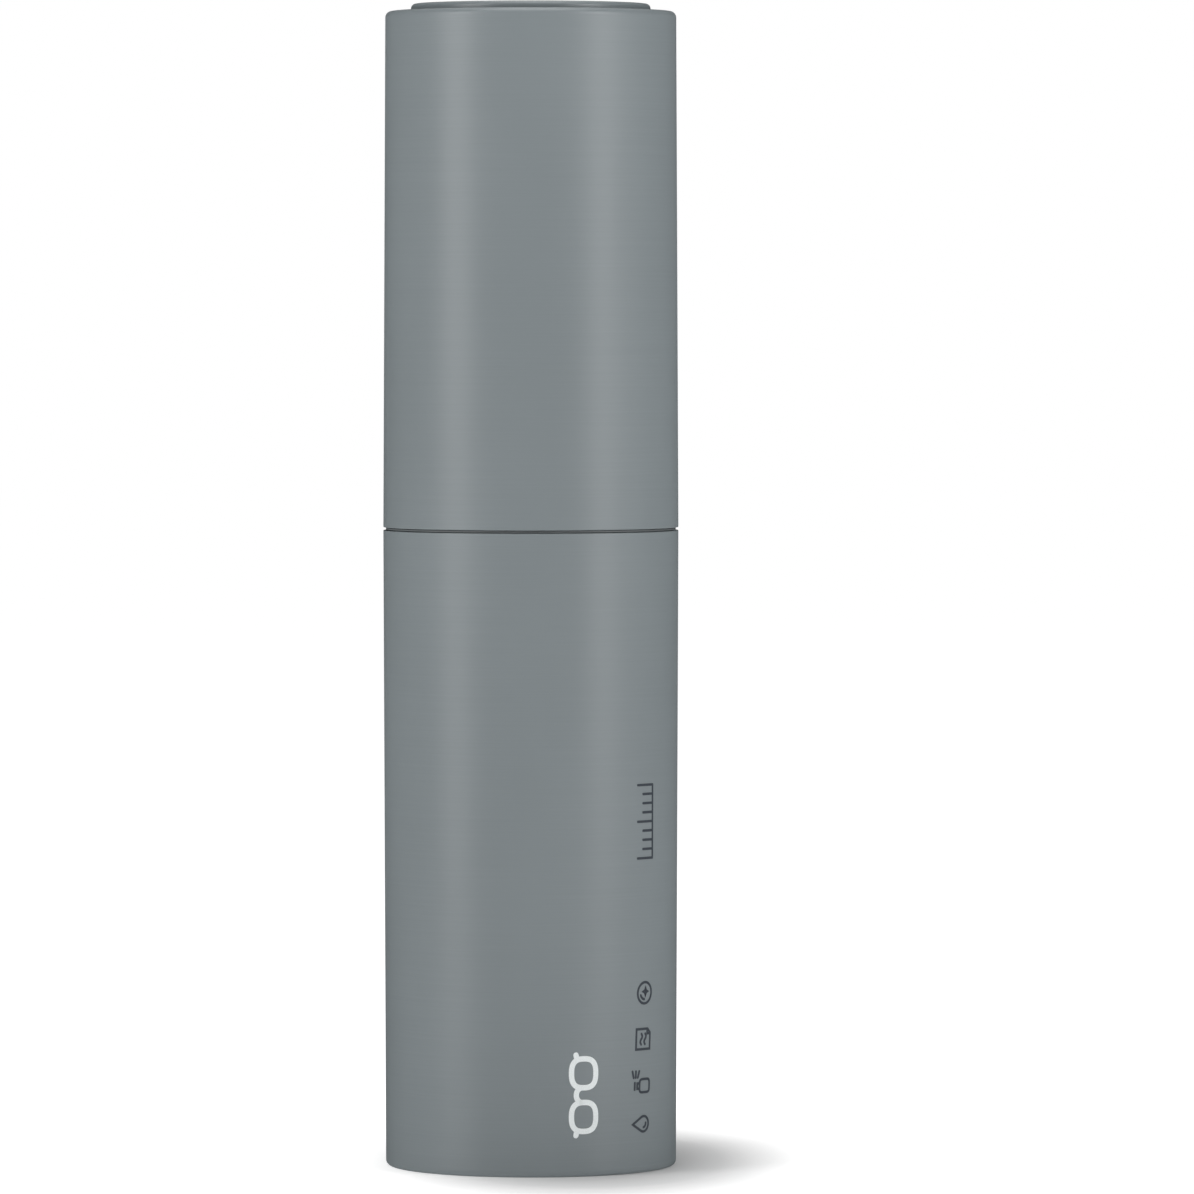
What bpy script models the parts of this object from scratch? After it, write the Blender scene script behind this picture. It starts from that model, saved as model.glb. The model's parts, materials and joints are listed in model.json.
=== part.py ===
"""Lens cleaning spray: a 20 ml twist-up atomiser, stored closed.

Two drawn aluminium casings hide a lipstick-type lift. Turning the upper casing carries a helical
slot past two lugs, which upright slots keep from turning, so the glass vial and its pump rise
12 mm and the spray head comes out of the top. The head is then pressed down to spray.

Numbers are millimetres. The frame has its origin at the centre of the foot, +Z up, and the nozzle
faces -Y. A profile is a list of (radius, height) points that runs down a piece's outer side and up
its inner side.
"""

import math

import bmesh
import bpy
from mathutils import Matrix, Vector

MM = 0.001

# Driving dimensions of the outside.
SEAM_R = 14.0  # both casings are widest where they meet
END_R = 13.78  # and draw in a little towards the foot and the shoulder
SEAM_Z = 60.5
SEAM_GAP = 0.28
SEAM_RING_R = 13.75  # a thin fin of the guide tube keeps the casings apart and darkens the seam
SHOULDER_Z = 109.5
HEAD_TOP_Z = 110.2  # the closed head stands a little proud of the shoulder
HEAD_R = 11.35

# Driving dimensions of the motion.
LIFT = 12.0
TWIST_DEG = 180.0
LANDING_DEG = 8.0  # level end of the helical slots, where the raised head locks
STROKE = 3.5
PISTON_LAG = 0.6
BALL_LIFT = 0.8

# Clearances.
GLUED = 0.15  # radial gap of a piece fixed in its neighbour
RUNNING = 0.15  # radial gap of a piece that slides or turns in its neighbour
RESTING = 0.1  # gap of a piece that lies on its neighbour

# The concentric tubes, from the outside in.
CASING_BORE_R = 13.1
LINER_R = CASING_BORE_R - GLUED
LINER_BORE_R = 12.05
GUIDE_R = LINER_BORE_R - GLUED
GUIDE_BORE_R = 11.1
VIAL_R = GUIDE_BORE_R - RUNNING
VIAL_BORE_R = 10.1

# Heights of the lift.
GUIDE_FOOT_Z = 2.8
GUIDE_TOP_Z = 93.2
LUG_Z = 79.0
LUG_R = 1.5
LUG_REACH = 12.75
SLOT_WIDTH = 2 * LUG_R + 0.3

# Heights of the pump.
NECK_TOP_Z = 83.25
NECK_R = 6.6
THREAD_PITCH = 2.8
THREAD_TURNS = 1.5
STEM_R = 1.7
HEAD_FOOT_Z = 97.8
NOZZLE_Z = 105.2

# Facets round a full turn.
LARGE, MEDIUM, SMALL = 60, 40, 28


def clear_scene():
    for obj in list(bpy.data.objects):
        bpy.data.objects.remove(obj)


def new_collection(name):
    collection = bpy.data.collections.new(name)
    bpy.context.scene.collection.children.link(collection)
    return collection


def new_material(name, colour, roughness, metallic=0.0, alpha=1.0):
    material = bpy.data.materials.new(name)
    material.use_nodes = True
    shader = material.node_tree.nodes["Principled BSDF"]
    shader.inputs["Base Color"].default_value = (*colour, 1.0)
    shader.inputs["Roughness"].default_value = roughness
    shader.inputs["Metallic"].default_value = metallic
    shader.inputs["Alpha"].default_value = alpha
    return material


clear_scene()
SPRAY = new_collection("lens_cleaning_spray")
CUTTERS = new_collection("cutters")

CASING_GREY = new_material("casing_grey", (0.225, 0.262, 0.275), 0.42, 0.35)
DARK_PLASTIC = new_material("dark_plastic", (0.035, 0.038, 0.040), 0.5)
WHITE_PLASTIC = new_material("white_plastic", (0.72, 0.73, 0.72), 0.4)
CLEAR_PLASTIC = new_material("clear_plastic", (0.80, 0.84, 0.85), 0.25, alpha=0.5)
RUBBER = new_material("seal_rubber", (0.09, 0.09, 0.09), 0.7)
GLASS = new_material("vial_glass", (0.86, 0.92, 0.92), 0.05, alpha=0.35)
FLUID = new_material("fluid", (0.70, 0.84, 0.90), 0.05, alpha=0.5)
STEEL = new_material("steel", (0.62, 0.63, 0.64), 0.25, 1.0)


def arc(centre, radius, start_deg, end_deg, steps):
    """Profile points round a centre. 0 degrees points outwards and 90 points up."""
    points = []
    for i in range(steps + 1):
        angle = math.radians(start_deg + (end_deg - start_deg) * i / steps)
        points.append((centre[0] + radius * math.cos(angle), centre[1] + radius * math.sin(angle)))
    return points


def link_mesh(name, mesh, collection):
    obj = bpy.data.objects.new(name, mesh)
    collection.objects.link(obj)
    return obj


def turned(name, profile, facets, collection=SPRAY):
    """A profile turned about Z. One that starts and ends on the axis is left open there."""
    vertices = [(r * MM, 0.0, z * MM) for r, z in profile]
    edges = [(i, i + 1) for i in range(len(profile) - 1)]
    if profile[0][0] > 0:
        edges.append((len(profile) - 1, 0))
    mesh = bpy.data.meshes.new(name)
    mesh.from_pydata(vertices, edges, [])
    obj = link_mesh(name, mesh, collection)
    screw = obj.modifiers.new("turn", "SCREW")
    screw.axis = "Z"
    screw.steps = facets
    screw.render_steps = facets
    screw.use_merge_vertices = True
    screw.merge_threshold = 1e-6
    return obj


def radial_rod(name, radius, inner, outer, height, azimuth_deg, facets=24):
    """A cutter or boss: a rod that lies along a radius, between two distances from the axis."""
    mesh = bpy.data.meshes.new(name)
    bm = bmesh.new()
    bmesh.ops.create_cone(
        bm,
        cap_ends=True,
        segments=facets,
        radius1=radius * MM,
        radius2=radius * MM,
        depth=(outer - inner) * MM,
    )
    bm.to_mesh(mesh)
    bm.free()
    obj = link_mesh(name, mesh, CUTTERS)
    turn = Matrix.Rotation(math.radians(azimuth_deg), 4, "Z")
    lie_down = Matrix.Rotation(math.radians(90), 4, "Y")
    obj.matrix_world = turn @ Matrix.Translation(((inner + outer) / 2 * MM, 0, height * MM)) @ lie_down
    return obj


def helical_bar(name, section, azimuth_deg, stages):
    """A closed bar swept round Z. Each stage is (degrees turned, rise, steps)."""
    mesh = bpy.data.meshes.new(name)
    bm = bmesh.new()
    start = Matrix.Rotation(math.radians(azimuth_deg), 3, "Z")
    face = bm.faces.new([bm.verts.new(start @ Vector((r * MM, 0, z * MM))) for r, z in section])
    swept = [face, *face.edges, *face.verts]
    for turn_deg, rise, steps in stages:
        done = bmesh.ops.spin(
            bm,
            geom=swept,
            cent=(0, 0, 0),
            axis=(0, 0, 1),
            dvec=(0, 0, rise / steps * MM),
            angle=math.radians(turn_deg),
            steps=steps,
        )
        swept = done["geom_last"]
    bmesh.ops.recalc_face_normals(bm, faces=bm.faces)
    bm.to_mesh(mesh)
    bm.free()
    return link_mesh(name, mesh, CUTTERS)


def boolean(obj, tool, operation):
    modifier = obj.modifiers.new(tool.name, "BOOLEAN")
    modifier.operation = operation
    modifier.object = tool
    tool.hide_render = True
    tool.display_type = "WIRE"


def cut(obj, tool):
    boolean(obj, tool, "DIFFERENCE")


def add(obj, tool):
    boolean(obj, tool, "UNION")


def finish(obj, material):
    """Keeps the evaluated shape as the object's mesh, with smooth round faces and its material."""
    bpy.context.view_layer.update()
    mesh = bpy.data.meshes.new_from_object(obj.evaluated_get(bpy.context.evaluated_depsgraph_get()))
    obj.modifiers.clear()
    obj.data = mesh
    mesh.name = obj.name
    mesh.materials.clear()
    mesh.materials.append(material)
    mesh.shade_smooth()
    mesh.set_sharp_from_angle(angle=math.radians(35))
    return obj


def lower_casing():
    """Drawn can with a rounded foot, a standing ring and a dished floor."""
    foot_edge, chamfer = 0.9, 0.06
    top = SEAM_Z - SEAM_GAP / 2
    profile = [
        (0, 1.2),
        *arc((CASING_BORE_R - 0.7, 1.9), 0.7, 270, 360, 2),
        (CASING_BORE_R, top),
        (SEAM_R - chamfer, top),
        (SEAM_R, top - chamfer),
        *arc((END_R - foot_edge, foot_edge), foot_edge, 0, -90, 4),
        (10.8, 0),
        (10.3, 0.4),
        (0, 0.4),
    ]
    return finish(turned("lower_casing", profile, LARGE), CASING_GREY)


def upper_casing():
    """Drawn tube whose top is turned in to a flat shoulder round the head's opening."""
    shoulder_edge, chamfer, wall = 0.6, 0.06, 0.8
    opening_r, opening_edge = HEAD_R + 0.25, 0.15
    bottom = SEAM_Z + SEAM_GAP / 2
    profile = [
        (opening_r, SHOULDER_Z - opening_edge),
        (opening_r + opening_edge, SHOULDER_Z),
        *arc((END_R - shoulder_edge, SHOULDER_Z - shoulder_edge), shoulder_edge, 90, 0, 4),
        (SEAM_R, bottom + chamfer),
        (SEAM_R - chamfer, bottom),
        (CASING_BORE_R, bottom),
        (CASING_BORE_R, SHOULDER_Z - wall),
        (opening_r, SHOULDER_Z - wall),
    ]
    return finish(turned("upper_casing", profile, LARGE), CASING_GREY)


def base_liner():
    """Moulded cup glued in the lower casing. It holds the guide tube and the cushion."""
    floor, foot, top = 2.5, 1.5, SEAM_Z - 2.1
    profile = [
        (0, floor),
        (LINER_BORE_R, floor),
        (LINER_BORE_R, top),
        (LINER_R, top),
        (LINER_R, foot + 0.6),
        (LINER_R - 0.6, foot),
        (0, foot),
    ]
    return finish(turned("base_liner", profile, MEDIUM), DARK_PLASTIC)


def vial_cushion():
    """Soft disc that the closed vial stands on."""
    foot, top, radius = 2.6, 3.4, 10.9
    profile = [(0, top), (radius - 0.3, top), (radius, top - 0.3), (radius, foot), (0, foot)]
    return finish(turned("vial_cushion", profile, SMALL), RUBBER)


def guide_tube():
    """Tube with two upright slots. Its flange is the bearing at the seam, its bead a snap fit."""
    flange_foot, flange_top, half_fin = SEAM_Z - 1.8, SEAM_Z + 1.2, 0.07
    bead_z, bead_height, bead_r = SEAM_Z + 6.0, 0.4, 12.3
    slot_foot = LUG_Z - SLOT_WIDTH / 2 - 0.15
    profile = [
        (GUIDE_BORE_R, GUIDE_TOP_Z),
        (GUIDE_R, GUIDE_TOP_Z),
        (GUIDE_R, bead_z + 0.5),
        (bead_r, bead_z + bead_height / 2),
        (bead_r, bead_z - bead_height / 2),
        (GUIDE_R, bead_z - 0.5),
        (GUIDE_R, flange_top),
        (LINER_R, flange_top),
        (LINER_R, SEAM_Z + half_fin),
        (SEAM_RING_R, SEAM_Z + half_fin),
        (SEAM_RING_R, SEAM_Z - half_fin),
        (LINER_R, SEAM_Z - half_fin),
        (LINER_R, flange_foot),
        (GUIDE_R, flange_foot),
        (GUIDE_R, GUIDE_FOOT_Z),
        (GUIDE_BORE_R, GUIDE_FOOT_Z),
    ]
    tube = turned("guide_tube", profile, MEDIUM)
    for side, azimuth in (("left", 180), ("right", 0)):
        bm = bmesh.new()
        bmesh.ops.create_cube(bm, size=MM)
        height = GUIDE_TOP_Z + 2 - (slot_foot + SLOT_WIDTH / 2)
        bmesh.ops.scale(bm, vec=(4, SLOT_WIDTH, height), verts=bm.verts)
        middle = Vector((GUIDE_R * MM, 0, (GUIDE_TOP_Z + 2 - height / 2) * MM))
        bmesh.ops.translate(bm, vec=middle, verts=bm.verts)
        mesh = bpy.data.meshes.new(f"upright_slot_{side}")
        bm.to_mesh(mesh)
        bm.free()
        slot = link_mesh(mesh.name, mesh, CUTTERS)
        slot.matrix_world = Matrix.Rotation(math.radians(azimuth), 4, "Z")
        cut(tube, slot)
        round_end = slot_foot + SLOT_WIDTH / 2
        cut(tube, radial_rod(f"slot_foot_{side}", SLOT_WIDTH / 2, 10, 14, round_end, azimuth))
    return finish(tube, DARK_PLASTIC)


def helix_sleeve():
    """Sleeve glued in the upper casing, with two helical slots and a lip that guides the head."""
    foot, top = SEAM_Z + 1.4, SHOULDER_Z - 1.1
    groove_foot, groove_top, groove_r = SEAM_Z + 5.2, SEAM_Z + 6.8, 12.5
    lip_r = HEAD_R + 0.27
    profile = [
        (lip_r, top),
        (LINER_R, top),
        (LINER_R, foot),
        (LINER_BORE_R, foot),
        (LINER_BORE_R, groove_foot),
        (groove_r, groove_foot),
        (groove_r, groove_top),
        (LINER_BORE_R, groove_top),
        (LINER_BORE_R, top - 1.5),
        (lip_r, top - 1.0),
    ]
    sleeve = turned("helix_sleeve", profile, MEDIUM)
    slope = math.atan(LIFT / (math.radians(TWIST_DEG) * LINER_R))
    half = SLOT_WIDTH / 2 / math.cos(slope)
    section = [(11, LUG_Z - half), (14, LUG_Z - half), (14, LUG_Z + half), (11, LUG_Z + half)]
    for side, azimuth in (("left", 180), ("right", 0)):
        stages = [(TWIST_DEG, LIFT, 24), (LANDING_DEG, 0, 2)]
        cut(sleeve, helical_bar(f"helical_slot_{side}", section, azimuth, stages))
        ends = (("foot", azimuth, LUG_Z), ("head", azimuth + TWIST_DEG + LANDING_DEG, LUG_Z + LIFT))
        for end, at, height in ends:
            cut(sleeve, radial_rod(f"helix_{end}_{side}", half, 11, 14, height, at))
    return finish(sleeve, WHITE_PLASTIC)


def thread_ridge(name, inner, outer, points_inwards, start_z):
    """A single-start thread ridge, broad at its root and narrow at its crest."""
    root, crest = 0.45, 0.25
    at_inner, at_outer = (crest, root) if points_inwards else (root, crest)
    section = [
        (inner, start_z - at_inner),
        (outer, start_z - at_outer),
        (outer, start_z + at_outer),
        (inner, start_z + at_inner),
    ]
    stage = (360 * THREAD_TURNS, THREAD_PITCH * THREAD_TURNS, round(24 * THREAD_TURNS))
    return helical_bar(name, section, 0, [stage])


THREAD_START_Z = 76.6


def glass_vial():
    """Vial with a pushed-up floor, a round shoulder and a threaded neck."""
    shoulder_z = 71.0
    profile = [
        (0, 5.2),
        *arc((8.6, 6.4), 1.5, 270, 360, 3),
        *arc((7.8, shoulder_z - 0.1), VIAL_BORE_R - 7.8, 0, 90, 3),
        (5.4, 73.3),
        (4.95, 73.9),
        (4.95, NECK_TOP_Z),
        (NECK_R - 0.2, NECK_TOP_Z),
        (NECK_R, NECK_TOP_Z - 0.2),
        (NECK_R, 74.6),
        (NECK_R + 0.3, 74.2),
        *arc((7.95, shoulder_z), VIAL_R - 7.95, 90, 0, 4),
        *arc((9.55, 5.0), 1.4, 0, -90, 3),
        (8.6, 3.6),
        (8.2, 4.0),
        (0, 4.2),
    ]
    vial = turned("glass_vial", profile, MEDIUM)
    add(vial, thread_ridge("neck_thread", NECK_R - 0.5, NECK_R + 0.65, False, THREAD_START_Z))
    return finish(vial, GLASS)


def cleaning_fluid():
    """The 20 ml fill, up to the vial's shoulder and round the dip tube and the pump's foot."""
    radius, level = VIAL_BORE_R - 0.15, 70.8
    profile = [
        (0, 6.1),
        (1.75, 6.1),
        (1.75, 59.8),
        (2.65, 59.8),
        (2.65, 65.9),
        (4.8, 68.5),
        (4.8, level),
        (radius, level),
        *arc((8.6, 6.45), radius - 8.6, 0, -90, 3),
        (0, 5.35),
    ]
    return finish(turned("cleaning_fluid", profile, MEDIUM), FLUID)


def carrier_collar():
    """Screw collar that clamps the pump on the neck. Its two lugs ride in both pairs of slots."""
    foot, top, plate = 76.5, 87.7, 1.4
    hole_r, skirt_bore_r, skirt_r, rim_r = 4.35, 7.5, 8.6, 9.9
    profile = [
        (hole_r, top),
        (VIAL_R - 0.5, top),
        (VIAL_R, top - 0.5),
        (VIAL_R, foot),
        (rim_r, foot),
        (rim_r, top - plate - 0.3),
        (skirt_r, top - plate - 0.3),
        (skirt_r, foot),
        (skirt_bore_r, foot),
        (skirt_bore_r, top - plate),
        (hole_r, top - plate),
    ]
    collar = turned("carrier_collar", profile, MEDIUM)
    start = THREAD_START_Z + THREAD_PITCH / 2
    add(collar, thread_ridge("collar_thread", skirt_bore_r - 0.65, skirt_bore_r + 0.5, True, start))
    for side, azimuth in (("left", 180), ("right", 0)):
        add(collar, radial_rod(f"lug_{side}", LUG_R, 10.4, LUG_REACH, LUG_Z, azimuth))
    return finish(collar, WHITE_PLASTIC)


def neck_gasket():
    foot = NECK_TOP_Z + RESTING
    profile = [(5.0, foot + 0.9), (6.5, foot + 0.9), (6.5, foot), (5.0, foot)]
    return finish(turned("neck_gasket", profile, SMALL), RUBBER)


def pump_housing():
    """Pump cylinder with a flange on the neck, a ball seat and a socket for the dip tube."""
    flange_foot, flange_top = 84.35, 85.25
    profile = [
        (3.9, flange_top),
        (6.9, flange_top),
        (6.9, flange_foot),
        (4.6, flange_foot),
        (4.6, 68.6),
        (2.5, 66.0),
        (2.5, 60.0),
        (1.7, 60.0),
        (1.7, 65.6),
        (0.8, 65.6),
        (0.8, 67.4),
        (1.9, 68.5),
        (1.9, 69.6),
        (3.2, 69.6),
        (3.2, 81.6),
        (3.9, 81.6),
    ]
    return finish(turned("pump_housing", profile, SMALL), CLEAR_PLASTIC)


def stem_gland():
    """Plug that closes the pump cylinder and guides the stem."""
    bore, boss_r, flange_foot = STEM_R + RUNNING, 4.1, 85.35
    profile = [
        (bore, 89.5),
        (boss_r - 0.5, 89.5),
        (boss_r, 89.0),
        (boss_r, flange_foot + 0.85),
        (6.9, flange_foot + 0.85),
        (6.9, flange_foot),
        (3.8, flange_foot),
        (3.8, 82.4),
        (bore, 82.4),
    ]
    return finish(turned("stem_gland", profile, SMALL), WHITE_PLASTIC)


def dip_tube():
    """Tube down to the vial's floor, with its foot cut on the slant so that it can't seal there."""
    outer, bore, foot, top = 1.6, 1.0, 6.3, 65.4
    profile = [(bore, top), (outer, top), (outer, foot), (bore, foot)]
    tube = turned("dip_tube", profile, 16)
    bm = bmesh.new()
    bmesh.ops.create_cube(bm, size=8 * MM)
    mesh = bpy.data.meshes.new("slant_cut")
    bm.to_mesh(mesh)
    bm.free()
    slant = link_mesh("slant_cut", mesh, CUTTERS)
    tilt = Matrix.Rotation(math.radians(35), 4, "Y")
    slant.matrix_world = Matrix.Translation((0, 0, (foot + 1.2) * MM)) @ tilt
    slant.matrix_world = slant.matrix_world @ Matrix.Translation((0, 0, -4 * MM))
    cut(tube, slant)
    return finish(tube, CLEAR_PLASTIC)


def inlet_ball():
    """Check ball, a hair above its seat."""
    radius, centre_z = 1.2, 68.4
    mesh = bpy.data.meshes.new("inlet_ball")
    bm = bmesh.new()
    bmesh.ops.create_uvsphere(bm, u_segments=16, v_segments=10, radius=radius * MM)
    bm.to_mesh(mesh)
    bm.free()
    ball = link_mesh("inlet_ball", mesh, SPRAY)
    ball.location = (0, 0, centre_z * MM)
    return finish(ball, STEEL)


def return_spring():
    """Compression spring with one closed coil at each end."""
    wire_r, coil_r, foot, top = 0.25, 2.3, 69.95, 76.95
    turns, closed_turns, closed_pitch, points_per_turn = 6.0, 1.0, 0.56, 12
    free_pitch = (top - foot - 2 * closed_turns * closed_pitch) / (turns - 2 * closed_turns)
    curve = bpy.data.curves.new("return_spring", "CURVE")
    curve.dimensions = "3D"
    curve.bevel_depth = wire_r * MM
    curve.bevel_resolution = 2
    curve.use_fill_caps = True
    count = round(turns * points_per_turn)
    spline = curve.splines.new("POLY")
    spline.points.add(count)
    for i, point in enumerate(spline.points):
        turn = turns * i / count
        closed = min(turn, closed_turns) + max(0.0, turn - (turns - closed_turns))
        height = foot + closed * closed_pitch + (turn - closed) * free_pitch
        angle = 2 * math.pi * turn
        x, y = coil_r * math.cos(angle), coil_r * math.sin(angle)
        point.co = (x * MM, y * MM, height * MM, 1)
    curve.materials.append(STEEL)
    spring = bpy.data.objects.new("return_spring", curve)
    SPRAY.objects.link(spring)
    return spring


def piston():
    """Piston with two sealing lips. It slides a little on the stem and so opens the stem's ports."""
    bore, lip_r, waist_r, foot, top = STEM_R + RUNNING, 3.1, 2.7, 78.0, 80.9
    profile = [
        (bore, top),
        (lip_r, top),
        (lip_r, top - 0.6),
        (waist_r, top - 0.9),
        (waist_r, foot + 0.9),
        (lip_r, foot + 0.6),
        (lip_r, foot),
        (bore, foot),
    ]
    return finish(turned("piston", profile, SMALL), WHITE_PLASTIC)


def pump_stem():
    """Hollow stem with a valve flange at its foot, a shoulder, and a cross hole for the fluid."""
    bore, top, port_z = 0.8, 97.6, 78.4
    shoulder_foot = 80.9 + PISTON_LAG + RESTING
    profile = [
        (0, 78.0),
        (bore, 78.0),
        (bore, top),
        (STEM_R, top),
        (STEM_R, 82.3),
        (2.2, 82.3),
        (2.2, shoulder_foot),
        (STEM_R, shoulder_foot),
        (STEM_R, 77.9),
        (2.4, 77.9),
        (2.4, 77.3),
        (1.5, 77.3),
        (1.5, 75.6),
        (0, 75.6),
    ]
    stem = turned("pump_stem", profile, 24)
    cut(stem, radial_rod("stem_port", 0.3, -3, 3, port_z, 90, facets=10))
    return finish(stem, WHITE_PLASTIC)


def actuator_shell():
    """Drawn cap of the head. Its flat top is the disc that shows when the spray is closed."""
    wall, top_edge, foot_edge = 0.6, 0.45, 0.15
    profile = [
        (0, HEAD_TOP_Z),
        *arc((HEAD_R - top_edge, HEAD_TOP_Z - top_edge), top_edge, 90, 0, 4),
        (HEAD_R, HEAD_FOOT_Z + foot_edge),
        (HEAD_R - foot_edge, HEAD_FOOT_Z),
        (HEAD_R - wall, HEAD_FOOT_Z),
        (HEAD_R - wall, HEAD_TOP_Z - wall - 0.1),
        (0, HEAD_TOP_Z - wall - 0.1),
    ]
    shell = turned("actuator_shell", profile, MEDIUM)
    cut(shell, radial_rod("nozzle_window", 2.3, 9, 13, NOZZLE_Z, -90))
    return finish(shell, CASING_GREY)


def face_nozzle(obj):
    """Lays a turned piece along the nozzle's axis, its top towards -Y."""
    obj.rotation_euler = (math.radians(90), 0, 0)
    obj.location = (0, 0, NOZZLE_Z * MM)
    return obj


def actuator_core():
    """Moulding inside the head: stem socket, passage to the nozzle, and a boss with a swirl post."""
    radius = HEAD_R - 0.6 - GLUED
    foot, top, plate_foot = 98.8, HEAD_TOP_Z - 0.9, 107.9
    hub_r, hub_foot, socket_top, passage_top = 3.4, 94.5, 97.8, 107.3
    profile = [
        (0, top),
        (radius, top),
        (radius, foot),
        (radius - 0.8, foot),
        (radius - 0.8, plate_foot),
        (hub_r, plate_foot),
        (hub_r, hub_foot),
        (STEM_R + 0.1, hub_foot),
        (STEM_R + 0.1, socket_top),
        (0.8, socket_top),
        (0.8, passage_top),
        (0, passage_top),
    ]
    core = turned("actuator_core", profile, MEDIUM)
    add(core, radial_rod("nozzle_boss", 3.1, 1.2, radius - 0.6, NOZZLE_Z, -90))
    round_post = [(0, 13), (2.1, 13), (2.1, 7.4), (1.2, 7.4), (1.2, 10.2), (0, 10.2)]
    cut(core, face_nozzle(turned("nozzle_bore", round_post, 24, CUTTERS)))
    cut(core, radial_rod("feed_channel", 0.4, 0.2, 7.9, NOZZLE_Z + 1.65, -90, facets=12))
    return finish(core, WHITE_PLASTIC)


def nozzle_insert():
    """Pressed-in spray tip with a cone round a fine orifice."""
    front, orifice_r, outer, bore = 11.25, 0.15, 2.0, 1.35
    profile = [
        (orifice_r, front - 0.4),
        (1.0, front),
        (outer - 0.12, front),
        (outer, front - 0.12),
        (outer, 8.0),
        (bore, 8.0),
        (bore, front - 0.7),
        (orifice_r, front - 0.7),
    ]
    return finish(face_nozzle(turned("nozzle_insert", profile, 24)), DARK_PLASTIC)


def group(name, members, parent=None):
    """An empty on the axis that carries the pieces of one moving body."""
    empty = bpy.data.objects.new(name, None)
    empty.empty_display_type = "SINGLE_ARROW"
    empty.empty_display_size = 20 * MM
    empty.parent = parent
    SPRAY.objects.link(empty)
    for member in members:
        member.parent = empty
    return empty


base = group("base", (lower_casing(), base_liner(), vial_cushion(), guide_tube()))
group("turning_sleeve", (upper_casing(), helix_sleeve()), base)
refill = (carrier_collar(), glass_vial(), cleaning_fluid(), neck_gasket())
pump = (pump_housing(), stem_gland(), dip_tube(), return_spring())
carriage = group("carriage", refill + pump, base)
group("check_ball", (inlet_ball(),), carriage)
head = group("spray_head", (actuator_shell(), actuator_core(), nozzle_insert(), pump_stem()), carriage)
group("sliding_piston", (piston(),), head)
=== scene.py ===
"""Looks of a twist-up lens cleaning spray, closed, on a white studio floor.

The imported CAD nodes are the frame. Each is replaced by a finer piece on the same dimensions, with
rounded edges and a procedural material. Lengths below are millimetres unless a name says otherwise.
"""

import json
import math

import bmesh
import bpy
from mathutils import Matrix, Vector


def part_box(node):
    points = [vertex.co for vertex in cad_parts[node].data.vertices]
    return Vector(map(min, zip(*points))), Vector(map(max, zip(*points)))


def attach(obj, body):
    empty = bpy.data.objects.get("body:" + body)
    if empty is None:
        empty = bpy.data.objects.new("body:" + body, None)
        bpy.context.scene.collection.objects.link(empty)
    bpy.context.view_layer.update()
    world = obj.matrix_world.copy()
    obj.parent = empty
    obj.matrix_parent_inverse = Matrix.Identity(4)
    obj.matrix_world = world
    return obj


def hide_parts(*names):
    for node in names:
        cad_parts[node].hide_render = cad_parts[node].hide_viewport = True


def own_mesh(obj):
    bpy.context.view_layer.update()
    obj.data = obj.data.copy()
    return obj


MM = 0.001
FINE, MEDIUM, SMALL, TINY = 160, 96, 64, 48  # facets round a full turn

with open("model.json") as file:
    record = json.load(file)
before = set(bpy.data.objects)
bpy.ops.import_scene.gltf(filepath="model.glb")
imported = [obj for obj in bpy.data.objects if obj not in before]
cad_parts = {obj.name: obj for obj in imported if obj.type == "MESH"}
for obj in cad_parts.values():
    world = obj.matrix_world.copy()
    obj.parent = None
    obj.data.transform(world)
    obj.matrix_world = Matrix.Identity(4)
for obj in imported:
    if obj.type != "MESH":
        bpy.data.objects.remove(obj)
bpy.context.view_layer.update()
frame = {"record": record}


def foot(node):
    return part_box(node)[0].z / MM


def top(node):
    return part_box(node)[1].z / MM


def radius(node):
    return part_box(node)[1].x / MM


# ---------------------------------------------------------------- places and sizes, in millimetres

SEAM_R, SEAM_FOOT, SEAM_TOP = radius("lower_casing"), top("lower_casing"), foot("upper_casing")
SEAM = (SEAM_FOOT + SEAM_TOP) / 2
SHOULDER = top("upper_casing")
END_R = 13.78  # of both casings, at the foot and the shoulder
BORE_R = 13.1  # of both casings
LINER_R = radius("base_liner")  # also of the sleeve, and of the flange on the guide tube
GUIDE_R, GUIDE_BORE_R = 11.9, 11.1
VIAL_R, NECK_R, STEM_R = radius("glass_vial"), 6.6, 1.7
NOZZLE = (foot("nozzle_insert") + top("nozzle_insert")) / 2  # height of its axis, which faces the front
FRONT_DEG = -90  # azimuth of the front, counted from +X
SIDES = (("left", 180), ("right", 0))  # azimuths of the two lugs and of the slots' starts
LUG_Z, SLOT_WIDTH = 79.0, 3.3
LIFT, TWIST_DEG, LANDING_DEG = 12.0, 180, 8
THREAD_START, THREAD_PITCH, THREAD_TURNS = 76.6, 2.8, 1.5
PUMP_R, CONE_FOOT, CONE_TOP = 4.6, 66.0, 68.6  # the pump's cylinder, and the cone under it

behaviour = frame["record"]["behaviour"]
BODY_OF = {node: body for body, nodes in behaviour["bodies"].items() for node in nodes}


# ---------------------------------------------------------------- materials


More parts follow.
